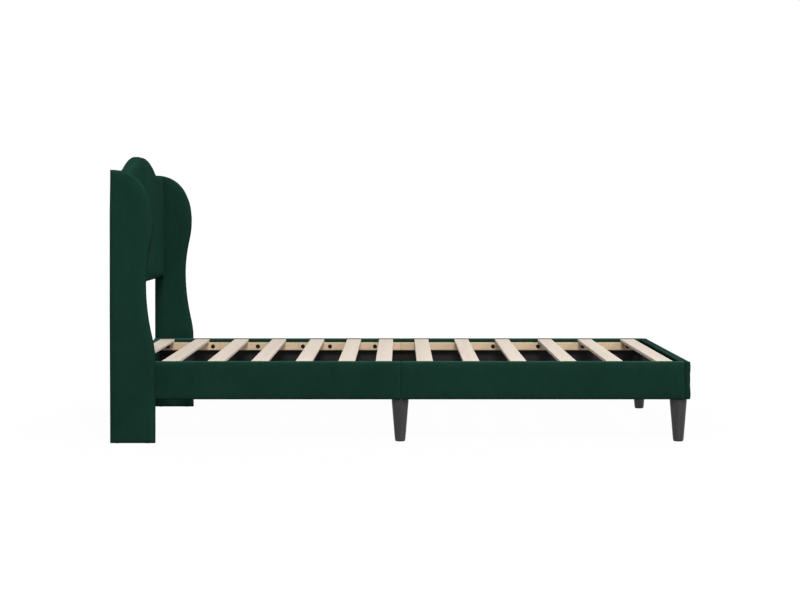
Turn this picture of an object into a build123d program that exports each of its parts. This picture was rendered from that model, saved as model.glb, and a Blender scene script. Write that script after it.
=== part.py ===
"""Upholstered single bed with a crowned headboard between two wings and a slatted base.

The origin is on the floor under the middle of the bed, +X points to the foot end,
+Y to the left side and +Z up. Sizes are in millimetres.
"""

import os
from math import cos, radians, sin

from build123d import *

os.makedirs("parts", exist_ok=True)

# Whole bed
bed_length = 2030
frame_width = 1060  # over the side rails, which is also the space between the wings
rail_underside = 150  # clear height below the rails
rail_height = 131
rail_thick = 36

# Upholstery
velvet = 2  # velvet with its backing
rail_pad = 8  # foam-backed velvet on a rail's outer face
rail_top_pad = 5
rail_wrap = 3  # folded velvet under a rail
lining = 2  # black lining on the inner faces
pad_edge_round = 8  # rolled edge of a wing or a side rail
headboard_edge_round = 14
foot_edge_round = 5
wrap_edge_round = 4  # tighter edge where the velvet is pulled over wood
end_round = 2.5  # velvet folded over the end of a rail

# Headboard
crown_height = 1016
shoulder_height = 952
panel_underside = 534
crown_half_width = 400
crown_arc_share = 0.7  # part of the crown's rise that belongs to its top arc
headboard_thick = 36
headboard_board_thick = 21
headboard_edge_foam = 6
back_cloth_thick = 1
back_hem = 25  # velvet turned over the back
access_window_width = 34  # openings in the board that give room to turn the bolts
access_window_height = 40
headboard_bolt_low = 64  # lowest bolt above the underside of the panel
headboard_bolt_high = 74  # highest bolt below the shoulders
headboard_bolt_rows = 3
headboard_bolt_back = 15  # bolt line from the back of the bed

# Wings
wing_over_shoulder = 3  # top of the wings above the headboard's shoulders
wing_base_depth = 154
wing_waist_depth = 121.5
wing_lobe_depth = 147
wing_tip_depth = 8
wing_shoulder_rise = 186  # from the lobe's widest point to the top
wing_swell_rise = 214  # from the waist to the lobe
wing_draw_rise = 270  # from the straight base to the waist
waist_curve_share = 0.3  # part of the draw to the waist that belongs to its lower arc
lobe_curve_share = 0.6  # part of the swell to the lobe that belongs to its lower arc
shoulder_turn = 22.6  # degrees that the shoulder has turned where its two arcs meet
wing_board_thick = 17
wing_foam_thick = 7
wing_glide_thick = 1
wing_glide_diameter = 16
wing_glide_inset = 24
glide_pin_diameter = 3
glide_pin_length = 14

# Head rail and foot rail
head_rail_thick = 25
foot_panel_thick = 19  # outer layer of the foot rail, which covers the side rails' ends
foot_flap = 5  # velvet turned down inside the foot rail
seam_gap = 0.6  # between the two halves of a side rail
butt_gap = 0.3  # between other pieces that butt

# Ledgers and slats
ledger_height = 31
ledger_thick = 22
slat_width = 57.5
slat_thick = 13
slat_proud = 2  # slat tops above the rail tops
slat_end_gap = 1.5
first_slat_gap = 3.5
last_slat_gap = 21.5
slat_edge_bevel = 1
# Where each slat lies from the first to the last one: they are not evenly spaced
slat_shares = (0, 0.0758, 0.1611, 0.2427, 0.3259, 0.4059, 0.4754,
               0.5522, 0.6391, 0.7271, 0.8203, 0.9073, 1)

# Ledger screws
head_ledger_first_screw = 37  # from the head rail
foot_ledger_first_screw = 50  # from the foot rail
ledger_screw_pitch = 184
ledger_screw_short_pitch = 111
ledger_screw_head_diameter = 17
ledger_screw_head_height = 2.5
ledger_screw_diameter = 5.5
ledger_screw_length = 40

# Legs
leg_inset = 37  # leg centre from the outer faces of the rails
middle_leg_x = -3  # just to the head side of the rails' seams
leg_top_diameter = 61
leg_foot_diameter = 37
leg_edge_bevel = 1
leg_glide_diameter = 34
leg_glide_height = 4
leg_glide_bevel = 0.7
leg_bolt_diameter = 8
leg_bolt_in_leg = 40
leg_bolt_above_plate = 7
leg_bolt_room = 1  # round the bolt's end, inside the rail

# Steel plates and brackets
plate_thick = 3
leg_plate_width = 58
middle_plate_length = 120
bracket_leg = 48
bracket_height = 55
bracket_lift = 14  # above the underside of the rails
joint_plate_length = 150
joint_plate_height = 50
plate_hole_inset = 12
plate_corner_round = 4
bracket_screw_head_diameter = 11
bracket_screw_head_height = 2.5
bracket_screw_diameter = 5
bracket_screw_length = 18
plate_screw_head_diameter = 9
plate_screw_length = 20

# Bolts into the wings and their nuts
wing_bolt_diameter = 8
wing_bolt_head_diameter = 13
wing_bolt_head_height = 6
wing_nut_flange_diameter = 20
wing_nut_flange_thick = 1.5
wing_nut_barrel_diameter = 11
wing_nut_barrel_length = 12
wing_bolt_tip_gap = 4  # from the bolt's end to the outer face of the wing's board
rail_bolt_back = 110  # side rail's bolts from the back of the bed
rail_bolt_low = 28  # above the underside of the rail
rail_bolt_pitch = 40

# Clearances and overruns
hole_clearance = 0.3
cut_overrun = 5

# Planes of the frame that follow from the sizes above
wing_height = shoulder_height + wing_over_shoulder
back = -bed_length / 2
front = bed_length / 2
side = frame_width / 2
rail_top = rail_underside + rail_height
rail_inner = side - rail_thick
core_inner = rail_inner + lining
core_outer = side - rail_pad
core_bottom = rail_underside + rail_wrap
core_top = rail_top - rail_top_pad
head_inner = back + head_rail_thick
foot_inner = front - rail_thick
foot_joint = front - foot_panel_thick
slat_top = rail_top + slat_proud
ledger_top = slat_top - slat_thick
ledger_bottom = ledger_top - ledger_height
ledger_inner = rail_inner - ledger_thick
wing_thick = wing_board_thick + 2 * (wing_foam_thick + velvet)
wing_outer = side + wing_thick
wing_board_face = wing_outer - velvet - wing_foam_thick
wing_board_bottom = wing_glide_thick + velvet
board_back = back + back_cloth_thick
board_edge_inset = velvet + headboard_edge_foam
leg_y = side - leg_inset
foot_leg_x = front - leg_inset
bracket_bottom = rail_underside + bracket_lift
joint_plate_middle = (core_bottom + ledger_bottom) / 2
wing_bolt_length = wing_board_face - rail_inner - wing_bolt_tip_gap


# Fasteners are placed by the plane under their head, which faces away from the wood
def seat(x, y, z, direction):
    """The plane under a fastener's head."""
    return Plane(origin=(x, y, z), z_dir=direction)


def on_both_sides(places):
    """Places on the left side with their mirror images on the right."""
    right = [
        seat(p.origin.X, -p.origin.Y, p.origin.Z, (p.z_dir.X, -p.z_dir.Y, p.z_dir.Z))
        for p in places
    ]
    return places + right


ledger_steps = (
    0,
    ledger_screw_pitch,
    2 * ledger_screw_pitch,
    3 * ledger_screw_pitch,
    3 * ledger_screw_pitch + ledger_screw_short_pitch,
    4 * ledger_screw_pitch + ledger_screw_short_pitch,
)
ledger_screw_x = [head_inner + head_ledger_first_screw + step for step in ledger_steps]
ledger_screw_x += [foot_inner - foot_ledger_first_screw - step for step in ledger_steps]
ledger_screw_z = (ledger_bottom + ledger_top) / 2
ledger_screw_places = [seat(x, ledger_inner, ledger_screw_z, (0, -1, 0)) for x in ledger_screw_x]

lowest_bolt_z = panel_underside + headboard_bolt_low
bolt_rise = shoulder_height - headboard_bolt_high - lowest_bolt_z
headboard_bolt_z = [
    lowest_bolt_z + row * bolt_rise / (headboard_bolt_rows - 1)
    for row in range(headboard_bolt_rows)
]
headboard_bolt_places = [
    seat(back + headboard_bolt_back, rail_inner, z, (0, -1, 0)) for z in headboard_bolt_z
]
rail_bolt_places = [
    seat(back + rail_bolt_back, rail_inner, rail_underside + rail_bolt_low + rise, (0, -1, 0))
    for rise in (0, rail_bolt_pitch)
]
wing_bolt_places = headboard_bolt_places + rail_bolt_places
wing_nut_places = [
    seat(p.origin.X, wing_board_face, p.origin.Z, (0, 1, 0)) for p in wing_bolt_places
]

bracket_rows = (
    bracket_bottom + plate_hole_inset,
    bracket_bottom + bracket_height - plate_hole_inset,
)
bracket_reach = bracket_leg - plate_hole_inset
bracket_screw_places = []
for corner_x, inward in ((head_inner, 1), (foot_inner, -1)):
    for z in bracket_rows:
        bracket_screw_places += [
            seat(corner_x + inward * bracket_reach, rail_inner - plate_thick, z, (0, -1, 0)),
            seat(corner_x + inward * plate_thick, rail_inner - bracket_reach, z, (inward, 0, 0)),
        ]
joint_screw_x = joint_plate_length / 2 - plate_hole_inset
joint_screw_rise = joint_plate_height / 2 - plate_hole_inset
joint_screw_places = [
    seat(x, rail_inner - plate_thick, joint_plate_middle + rise, (0, -1, 0))
    for x in (-joint_screw_x, joint_screw_x)
    for rise in (-joint_screw_rise, joint_screw_rise)
]
bracket_screw_places += joint_screw_places

middle_screw_x = middle_plate_length / 2 - plate_hole_inset
plate_screw_reach = leg_plate_width / 2 - plate_hole_inset
plate_screw_places = [
    seat(x, y, rail_underside, (0, 0, -1))
    for x, y in (
        (middle_leg_x - middle_screw_x, leg_y + plate_screw_reach),
        (middle_leg_x + middle_screw_x, leg_y + plate_screw_reach),
        (foot_leg_x - plate_screw_reach, leg_y + plate_screw_reach),
        (foot_leg_x + plate_screw_reach, leg_y - plate_screw_reach),
    )
]

leg_spots = [(x, hand * leg_y) for x in (middle_leg_x, foot_leg_x) for hand in (1, -1)]
leg_bolt_places = [seat(x, y, rail_underside, (0, 0, -1)) for x, y in leg_spots]
wing_glide_places = [
    seat(x, side + wing_thick / 2, wing_glide_thick, (0, 0, -1))
    for x in (back + wing_glide_inset, back + wing_base_depth - wing_glide_inset)
]


def slab(x_span, y_span, z_span, mode=Mode.ADD):
    """A box that fills three spans, for the part being built."""
    spans = (x_span, y_span, z_span)
    with Locations(tuple((low + high) / 2 for low, high in spans)):
        Box(*(high - low for low, high in spans), mode=mode)


def rods(places, diameter, length, align=Align.MAX, mode=Mode.ADD):
    """Round rods for the part being built, behind their planes, or before them with Align.MIN."""
    with Locations(*places):
        Cylinder(diameter / 2, length, align=(Align.CENTER, Align.CENTER, align), mode=mode)


def drill(places, diameter, depth):
    """Clearance holes that start at the given planes."""
    rods(places, diameter + 2 * hole_clearance, depth, mode=Mode.SUBTRACT)


def pins(places, head_diameter, head_height, shank_diameter, shank_length):
    """Headed pins, screws or bolts, for the part being built."""
    rods(places, head_diameter, head_height, align=Align.MIN)
    rods(places, shank_diameter, shank_length)


def save(piece, name):
    """Label a finished piece and write it under its name."""
    piece.part.label = name
    export_step(piece.part, f"parts/{name}.step")


def save_pair(piece, name):
    """Write a piece of the left side and its mirror image for the right."""
    with BuildPart() as twin:
        mirror(piece.part, about=Plane.XZ)
    save(piece, f"left_{name}")
    save(twin, f"right_{name}")


# Headboard: a crowned board with foam, a velvet cover and a cloth on its back
def headboard_outline(x, edge_inset, side_inset):
    """The crowned outline in a plane across the bed, drawn in by the insets."""
    half = side - side_inset
    crown = crown_height - edge_inset
    shoulder = shoulder_height - edge_inset
    bottom = panel_underside + edge_inset
    bend_y = crown_arc_share * crown_half_width
    bend_z = crown - crown_arc_share * (crown_height - shoulder_height)
    with BuildSketch(Plane.YZ.offset(x)) as outline:
        with BuildLine():
            TangentArc((-crown_half_width, shoulder), (-bend_y, bend_z), tangent=(1, 0))
            ThreePointArc((-bend_y, bend_z), (0, crown), (bend_y, bend_z))
            TangentArc((crown_half_width, shoulder), (bend_y, bend_z), tangent=(-1, 0))
            Polyline(
                (crown_half_width, shoulder),
                (half, shoulder),
                (half, bottom),
                (-half, bottom),
                (-half, shoulder),
                (-crown_half_width, shoulder),
            )
        make_face()
    return outline.sketch


def rolled_panel(x, inset, thick, edge_round):
    """The headboard's form with its front edge rolled, for the part being built."""
    with BuildPart() as panel:
        extrude(headboard_outline(x, inset, inset), amount=thick)
        fillet(panel.faces().sort_by(Axis.X)[-1].edges(), radius=edge_round)
    return panel.part


with BuildPart() as headboard_board:
    extrude(headboard_outline(board_back, board_edge_inset, velvet), amount=headboard_board_thick)
    for z in headboard_bolt_z:
        for hand in (1, -1):
            slab(
                (board_back - cut_overrun, board_back + headboard_board_thick + cut_overrun),
                sorted((hand * rail_inner, hand * (rail_inner - access_window_width))),
                (z - access_window_height / 2, z + access_window_height / 2),
                Mode.SUBTRACT,
            )
    drill(on_both_sides(headboard_bolt_places), wing_bolt_diameter, wing_bolt_length)
save(headboard_board, "headboard_board")

foam_depth = headboard_thick - back_cloth_thick - velvet
foam_form = rolled_panel(board_back, velvet, foam_depth, headboard_edge_round - velvet)
with BuildPart() as headboard_foam:
    add(foam_form)
    extrude(
        headboard_outline(board_back, board_edge_inset, velvet),
        amount=headboard_board_thick,
        mode=Mode.SUBTRACT,
    )
save(headboard_foam, "headboard_foam")

with BuildPart() as headboard_cover:
    add(rolled_panel(back, 0, headboard_thick, headboard_edge_round))
    add(foam_form, mode=Mode.SUBTRACT)
    extrude(
        headboard_outline(back, back_hem, back_hem), amount=back_cloth_thick, mode=Mode.SUBTRACT
    )
    drill(on_both_sides(headboard_bolt_places), wing_bolt_diameter, wing_bolt_length)
save(headboard_cover, "headboard_cover")

with BuildPart() as headboard_back_cloth:
    extrude(headboard_outline(back, back_hem, back_hem), amount=back_cloth_thick)
save(headboard_back_cloth, "headboard_back_cloth")


# Wings: a shaped board inside foam inside velvet, standing on glides
def wing_outline(y, edge_inset, back_inset, bottom):
    """The wing's profile in the plane at y, drawn in from the velvet's face."""
    tip = (wing_tip_depth, wing_height)
    lobe = (wing_lobe_depth, wing_height - wing_shoulder_rise)
    waist = (wing_waist_depth, lobe[1] - wing_swell_rise)
    base = (wing_base_depth, waist[1] - wing_draw_rise)

    def at(point):
        """A point of the sketch from its depth off the back and its height."""
        return (back + point[0], point[1])

    def bend(start, end, share):
        """Where the two arcs of an S curve between two points meet."""
        return at(tuple(a + share * (b - a) for a, b in zip(start, end)))

    turn_sin, turn_cos = sin(radians(shoulder_turn)), cos(radians(shoulder_turn))
    shoulder_depth = lobe[0] - tip[0]
    flank_radius = (wing_shoulder_rise * turn_cos - shoulder_depth * (1 - turn_sin)) / (
        turn_sin + turn_cos - 1
    )
    shoulder_bend = at(
        (lobe[0] - flank_radius * (1 - turn_cos), lobe[1] + flank_radius * turn_sin)
    )
    waist_bend = bend(base, waist, waist_curve_share)
    lobe_bend = bend(waist, lobe, lobe_curve_share)
    rear = back + back_inset - edge_inset
    foot = bottom - edge_inset
    with BuildSketch(Plane.XZ.offset(-y)) as outline:
        with BuildLine():
            TangentArc(at(base), waist_bend, tangent=(0, 1))
            TangentArc(at(waist), waist_bend, tangent=(0, -1))
            TangentArc(at(waist), lobe_bend, tangent=(0, 1))
            TangentArc(at(lobe), lobe_bend, tangent=(0, -1))
            TangentArc(at(lobe), shoulder_bend, tangent=(0, 1))
            TangentArc(at(tip), shoulder_bend, tangent=(1, 0))
            Polyline(at(tip), (rear, tip[1]), (rear, foot), (at(base)[0], foot), at(base))
        make_face()
        if edge_inset:
            offset(amount=-edge_inset, kind=Kind.INTERSECTION, mode=Mode.REPLACE)
    return outline.sketch


def rolled_wing(y, inset, bottom, thick, edge_round):
    """The wing's form with the outline's edges rolled on both faces, sharp at the floor."""
    with BuildPart() as wing:
        extrude(wing_outline(y, inset, inset, bottom), amount=thick)
        flanks = wing.faces().filter_by(Axis.Y)
        rims = flanks.edges().filter_by(lambda edge: edge.center().Z > bottom + cut_overrun)
        fillet(rims, radius=edge_round)
    return wing.part


with BuildPart() as wing_board:
    extrude(
        wing_outline(wing_board_face, velvet + wing_foam_thick, velvet, wing_board_bottom),
        amount=wing_board_thick,
    )
    wing_board_form = wing_board.part
    drill(wing_bolt_places, wing_bolt_diameter, wing_bolt_length)
    drill(wing_nut_places, wing_nut_barrel_diameter, wing_nut_barrel_length)
    drill(wing_nut_places, wing_nut_flange_diameter, wing_nut_flange_thick)
    drill(wing_glide_places, glide_pin_diameter, glide_pin_length)
save_pair(wing_board, "wing_board")

wing_foam_form = rolled_wing(
    wing_outer - velvet, velvet, wing_board_bottom, wing_thick - 2 * velvet, pad_edge_round - velvet
)
with BuildPart() as wing_foam:
    add(wing_foam_form)
    add(wing_board_form, mode=Mode.SUBTRACT)
    drill(wing_bolt_places, wing_bolt_diameter, wing_bolt_length)
save_pair(wing_foam, "wing_foam")

with BuildPart() as wing_cover:
    add(rolled_wing(wing_outer, 0, wing_glide_thick, wing_thick, pad_edge_round))
    add(wing_foam_form, mode=Mode.SUBTRACT)
    drill(wing_bolt_places, wing_bolt_diameter, wing_bolt_length)
    drill(wing_glide_places, glide_pin_diameter, glide_pin_length)
save_pair(wing_cover, "wing_cover")

with BuildPart() as wing_glides:
    pins(
        on_both_sides(wing_glide_places),
        wing_glide_diameter,
        wing_glide_thick,
        glide_pin_diameter,
        glide_pin_length,
    )
save(wing_glides, "wing_glides")


# Rails: a core inside padded velvet, with black lining on the inner face
def drill_rail():
    """The holes of all hardware, for the rail piece being built."""
    drill(on_both_sides(ledger_screw_places), ledger_screw_diameter, ledger_screw_length)
    drill(
        on_both_sides(bracket_screw_places),
        bracket_screw_diameter,
        plate_thick + bracket_screw_length,
    )
    drill(on_both_sides(rail_bolt_places), wing_bolt_diameter, wing_bolt_length)
    drill(on_both_sides(plate_screw_places), bracket_screw_diameter, plate_screw_length)
    with Locations(*((x, y, rail_underside) for x, y in leg_spots)):
        Cylinder(
            leg_bolt_diameter / 2 + leg_bolt_room,
            plate_thick + leg_bolt_above_plate + leg_bolt_room,
            align=(Align.CENTER, Align.CENTER, Align.MIN),
            mode=Mode.SUBTRACT,
        )


def plate_half_length(x):
    """Half the length of the leg plate at x: the middle ones reach across the seam."""
    return (leg_plate_width if x == foot_leg_x else middle_plate_length) / 2


def clear_leg_plates():
    """Room under the rails for the leg plates, which lie flush with the velvet."""
    for x, y in leg_spots:
        slab(
            (x - plate_half_length(x), x + plate_half_length(x)),
            (y - leg_plate_width / 2, y + leg_plate_width / 2),
            (rail_underside - cut_overrun, rail_underside + plate_thick),
            Mode.SUBTRACT,
        )


def round_rail_cover(cover):
    """Roll the outer top edge, pull the other long edges tight and round the ends."""
    long_edges = cover.edges().filter_by(Axis.X)
    fillet(long_edges.group_by(Axis.Z)[-1].sort_by(Axis.Y)[-1:], radius=pad_edge_round)
    long_edges = cover.edges().filter_by(Axis.X)
    tight = [
        long_edges.group_by(Axis.Z)[-1].sort_by(Axis.Y)[0],
        long_edges.group_by(Axis.Z)[0].sort_by(Axis.Y)[-1],
    ]
    fillet(tight, radius=wrap_edge_round)
    for end in (0, -1):
        fillet(cover.faces().sort_by(Axis.X)[end].edges(), radius=end_round)


def make_side_rail(name, low_x, high_x):
    """Core, cover and lining of one half of the left side rail, and those on the right."""
    core_x = (low_x + velvet, high_x - velvet)
    core_y = (core_inner, core_outer)
    core_z = (core_bottom, core_top)
    lining_y = (rail_inner, core_inner)
    lining_z = (core_bottom, ledger_bottom)

    with BuildPart() as core:
        slab(core_x, core_y, core_z)
        drill_rail()
        clear_leg_plates()
    save_pair(core, f"{name}_side_rail_core")

    with BuildPart() as cover:
        slab((low_x, high_x), (rail_inner, side), (rail_underside, rail_top))
        round_rail_cover(cover)
        slab(core_x, core_y, core_z, Mode.SUBTRACT)
        slab(core_x, lining_y, lining_z, Mode.SUBTRACT)
        drill_rail()
        clear_leg_plates()
    save_pair(cover, f"{name}_side_rail_cover")

    with BuildPart() as sheet:
        slab(core_x, lining_y, lining_z)
        drill_rail()
        clear_leg_plates()
    save_pair(sheet, f"{name}_side_rail_lining")


make_side_rail("head", back, -seam_gap / 2)
make_side_rail("foot", seam_gap / 2, foot_joint - butt_gap)

# Foot rail: the outer layer runs the full width and the inner one fits between the side rails
cross_half = rail_inner - butt_gap
cross_core_half = cross_half - velvet
cross_core_z = (core_bottom, core_top)
foot_lining_z = (core_bottom, core_top - foot_flap)

with BuildPart() as foot_rail_core:
    slab((foot_joint + velvet, front - rail_pad), (-core_outer, core_outer), cross_core_z)
    slab(
        (foot_inner + lining, foot_joint + velvet),
        (-cross_core_half, cross_core_half),
        cross_core_z,
    )
    foot_core_form = foot_rail_core.part
    drill_rail()
    clear_leg_plates()
save(foot_rail_core, "foot_rail_core")

with BuildPart() as foot_rail_cover:
    slab((foot_joint, front), (-side, side), (rail_underside, rail_top))
    outer_rims = foot_rail_cover.faces().sort_by(Axis.X)[-1].edges()
    outer_rims += foot_rail_cover.edges().filter_by(Axis.X)
    fillet(outer_rims, radius=foot_edge_round)
    slab((foot_inner, foot_joint), (-cross_half, cross_half), (rail_underside, rail_top))
    add(foot_core_form, mode=Mode.SUBTRACT)
    slab(
        (foot_inner, foot_inner + lining),
        (-cross_core_half, cross_core_half),
        foot_lining_z,
        Mode.SUBTRACT,
    )
    drill_rail()
    clear_leg_plates()
save(foot_rail_cover, "foot_rail_cover")

with BuildPart() as foot_rail_lining:
    slab((foot_inner, foot_inner + lining), (-cross_core_half, cross_core_half), foot_lining_z)
    drill_rail()
    clear_leg_plates()
save(foot_rail_lining, "foot_rail_lining")

# Head rail: a thinner cross rail under the gap below the headboard
with BuildPart() as head_rail_core:
    slab((back + velvet, head_inner - velvet), (-cross_core_half, cross_core_half), cross_core_z)
    head_core_form = head_rail_core.part
    drill_rail()
save(head_rail_core, "head_rail_core")

with BuildPart() as head_rail_cover:
    slab((back, head_inner), (-cross_half, cross_half), (rail_underside, rail_top))
    long_edges = head_rail_cover.edges().filter_by(Axis.Y)
    fillet(long_edges.group_by(Axis.Z)[-1], radius=wrap_edge_round)
    add(head_core_form, mode=Mode.SUBTRACT)
    drill_rail()
save(head_rail_cover, "head_rail_cover")

# Ledgers: two wooden strips along each side that the slats lie on
for name, ledger_x in (
    ("head", (head_inner + butt_gap, -seam_gap / 2)),
    ("foot", (seam_gap / 2, foot_inner - butt_gap)),
):
    with BuildPart() as ledger:
        slab(ledger_x, (ledger_inner, rail_inner), (ledger_bottom, ledger_top))
        drill(ledger_screw_places, ledger_screw_diameter, ledger_screw_length)
    save_pair(ledger, f"{name}_ledger")

with BuildPart() as ledger_screws:
    pins(
        on_both_sides(ledger_screw_places),
        ledger_screw_head_diameter,
        ledger_screw_head_height,
        ledger_screw_diameter,
        ledger_screw_length,
    )
save(ledger_screws, "ledger_screws")

# Slats: boards across the bed, dropped in between the side rails
slat_half_length = rail_inner - slat_end_gap
first_slat_x = head_inner + first_slat_gap + slat_width / 2
last_slat_x = foot_inner - last_slat_gap - slat_width / 2
for number, share in enumerate(slat_shares, start=1):
    slat_x = first_slat_x + share * (last_slat_x - first_slat_x)
    with BuildPart() as slat:
        slab(
            (slat_x - slat_width / 2, slat_x + slat_width / 2),
            (-slat_half_length, slat_half_length),
            (ledger_top, slat_top),
        )
        chamfer(slat.edges().filter_by(Axis.Y).group_by(Axis.Z)[-1], length=slat_edge_bevel)
    save(slat, f"slat_{number:02d}")

# Corner brackets at the head and the foot, and plates across the seams of the side rails
with BuildPart() as corner_brackets:
    for corner_x, inward in ((head_inner, 1), (foot_inner, -1)):
        for hand in (1, -1):
            leaf_x = sorted((corner_x, corner_x + inward * bracket_leg))
            bend_x = sorted((corner_x, corner_x + inward * plate_thick))
            leaf_y = sorted((hand * rail_inner, hand * (rail_inner - bracket_leg)))
            bend_y = sorted((hand * rail_inner, hand * (rail_inner - plate_thick)))
            bracket_z = (bracket_bottom, bracket_bottom + bracket_height)
            slab(leaf_x, bend_y, bracket_z)
            slab(bend_x, leaf_y, bracket_z)
    ends = corner_brackets.faces().filter_by(Axis.X) + corner_brackets.faces().filter_by(Axis.Y)
    free_ends = [face for face in ends if face.area < 2 * plate_thick * bracket_height]
    corners = [edge for face in free_ends for edge in face.edges() if edge.length < bracket_leg / 2]
    fillet(corners, radius=plate_corner_round)
    drill(on_both_sides(bracket_screw_places), bracket_screw_diameter, plate_thick)
save(corner_brackets, "corner_brackets")

with BuildPart() as joint_plates:
    for plane in (Plane.XZ.offset(-rail_inner), Plane.XZ.offset(rail_inner - plate_thick)):
        with BuildSketch(plane):
            with Locations((0, joint_plate_middle)):
                RectangleRounded(joint_plate_length, joint_plate_height, plate_corner_round)
        extrude(amount=plate_thick)
    drill(on_both_sides(joint_screw_places), bracket_screw_diameter, plate_thick)
save(joint_plates, "joint_plates")

with BuildPart() as bracket_screws:
    pins(
        on_both_sides(bracket_screw_places),
        bracket_screw_head_diameter,
        bracket_screw_head_height,
        bracket_screw_diameter,
        plate_thick + bracket_screw_length,
    )
save(bracket_screws, "bracket_screws")

# Leg plates, let in flush under the rails, with countersunk screws and a thread for the leg
countersink_depth = (plate_screw_head_diameter - bracket_screw_diameter) / 2


def countersunk_heads(places, clearance, mode=Mode.ADD):
    """Cone heads behind the given planes, for the part being built."""
    with Locations(*places):
        Cone(
            bracket_screw_diameter / 2 + clearance,
            plate_screw_head_diameter / 2 + clearance,
            countersink_depth,
            align=(Align.CENTER, Align.CENTER, Align.MAX),
            mode=mode,
        )


with BuildPart() as leg_plates:
    with BuildSketch(Plane.XY.offset(rail_underside)):
        for x, y in leg_spots:
            with Locations((x, y)):
                RectangleRounded(2 * plate_half_length(x), leg_plate_width, plate_corner_round)
    extrude(amount=plate_thick)
    drill(on_both_sides(plate_screw_places), bracket_screw_diameter, plate_thick)
    countersunk_heads(on_both_sides(plate_screw_places), hole_clearance, Mode.SUBTRACT)
    drill(leg_bolt_places, leg_bolt_diameter, plate_thick)
save(leg_plates, "leg_plates")

with BuildPart() as plate_screws:
    countersunk_heads(on_both_sides(plate_screw_places), 0)
    rods(on_both_sides(plate_screw_places), bracket_screw_diameter, plate_screw_length)
save(plate_screws, "plate_screws")

# Legs: turned and tapered, on hanger bolts, with nailed glides
leg_wood_height = rail_underside - leg_glide_height
leg_names = ("left_middle", "right_middle", "left_foot", "right_foot")
for name, (x, y) in zip(leg_names, leg_spots):
    with BuildPart() as leg:
        with Locations((x, y, leg_glide_height)):
            Cone(
                leg_foot_diameter / 2,
                leg_top_diameter / 2,
                leg_wood_height,
                align=(Align.CENTER, Align.CENTER, Align.MIN),
            )
        chamfer(leg.edges().filter_by(GeomType.CIRCLE), length=leg_edge_bevel)
        with Locations((x, y, rail_underside)):
            Hole(leg_bolt_diameter / 2 + hole_clearance, leg_bolt_in_leg + leg_bolt_room)
        drill([seat(x, y, leg_glide_height, (0, 0, -1))], glide_pin_diameter, glide_pin_length)
    save(leg, f"{name}_leg")

with BuildPart() as leg_bolts:
    with Locations(*((x, y, rail_underside - leg_bolt_in_leg) for x, y in leg_spots)):
        Cylinder(
            leg_bolt_diameter / 2,
            leg_bolt_in_leg + plate_thick + leg_bolt_above_plate,
            align=(Align.CENTER, Align.CENTER, Align.MIN),
        )
save(leg_bolts, "leg_bolts")

with BuildPart() as leg_glides:
    pins(
        [seat(x, y, leg_glide_height, (0, 0, -1)) for x, y in leg_spots],
        leg_glide_diameter,
        leg_glide_height,
        glide_pin_diameter,
        glide_pin_length,
    )
    chamfer(leg_glides.edges().group_by(Axis.Z)[0], length=leg_glide_bevel)
save(leg_glides, "leg_glides")

# Bolts from the headboard and the side rails into nuts in the wings
with BuildPart() as wing_bolts:
    pins(
        on_both_sides(wing_bolt_places),
        wing_bolt_head_diameter,
        wing_bolt_head_height,
        wing_bolt_diameter,
        wing_bolt_length,
    )
save(wing_bolts, "wing_bolts")

with BuildPart() as wing_nuts:
    rods(on_both_sides(wing_nut_places), wing_nut_flange_diameter, wing_nut_flange_thick)
    rods(on_both_sides(wing_nut_places), wing_nut_barrel_diameter, wing_nut_barrel_length)
    drill(on_both_sides(wing_nut_places), wing_bolt_diameter, wing_nut_barrel_length)
save(wing_nuts, "wing_nuts")
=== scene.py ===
"""Looks of the upholstered bed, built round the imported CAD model.

Everything is in metres, in the CAD model's own frame: +X to the foot end, +Y to the left, +Z up.
"""

import math

import bmesh
import bpy
import numpy as np
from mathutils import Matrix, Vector, noise
from mathutils.geometry import delaunay_2d_cdt


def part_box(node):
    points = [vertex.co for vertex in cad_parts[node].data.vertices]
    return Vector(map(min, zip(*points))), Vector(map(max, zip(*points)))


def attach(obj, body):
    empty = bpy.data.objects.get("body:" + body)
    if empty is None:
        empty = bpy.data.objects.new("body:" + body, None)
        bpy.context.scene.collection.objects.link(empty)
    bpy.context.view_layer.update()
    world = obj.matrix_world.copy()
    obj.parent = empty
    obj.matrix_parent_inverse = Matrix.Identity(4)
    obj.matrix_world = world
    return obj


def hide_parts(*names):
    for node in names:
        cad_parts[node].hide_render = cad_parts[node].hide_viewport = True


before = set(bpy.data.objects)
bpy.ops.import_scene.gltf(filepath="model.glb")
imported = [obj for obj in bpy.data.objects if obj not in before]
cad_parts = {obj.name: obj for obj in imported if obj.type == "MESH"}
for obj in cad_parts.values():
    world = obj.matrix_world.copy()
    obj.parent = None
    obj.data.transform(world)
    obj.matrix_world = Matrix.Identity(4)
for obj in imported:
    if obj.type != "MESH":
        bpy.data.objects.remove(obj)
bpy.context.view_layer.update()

# Camera, fitted to the photograph of 800 by 600 pixels
PHOTO_WIDTH = 800
PHOTO_HEIGHT = 600
FOCAL_PIXELS = 1705.6
CENTRE_X_PIXEL = 400.2
HORIZON_PIXEL = 207.4
SENSOR_WIDTH = 36  # millimetres
CAMERA_PLACE = (-0.0028, -6.5098, 0.8237)

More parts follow.
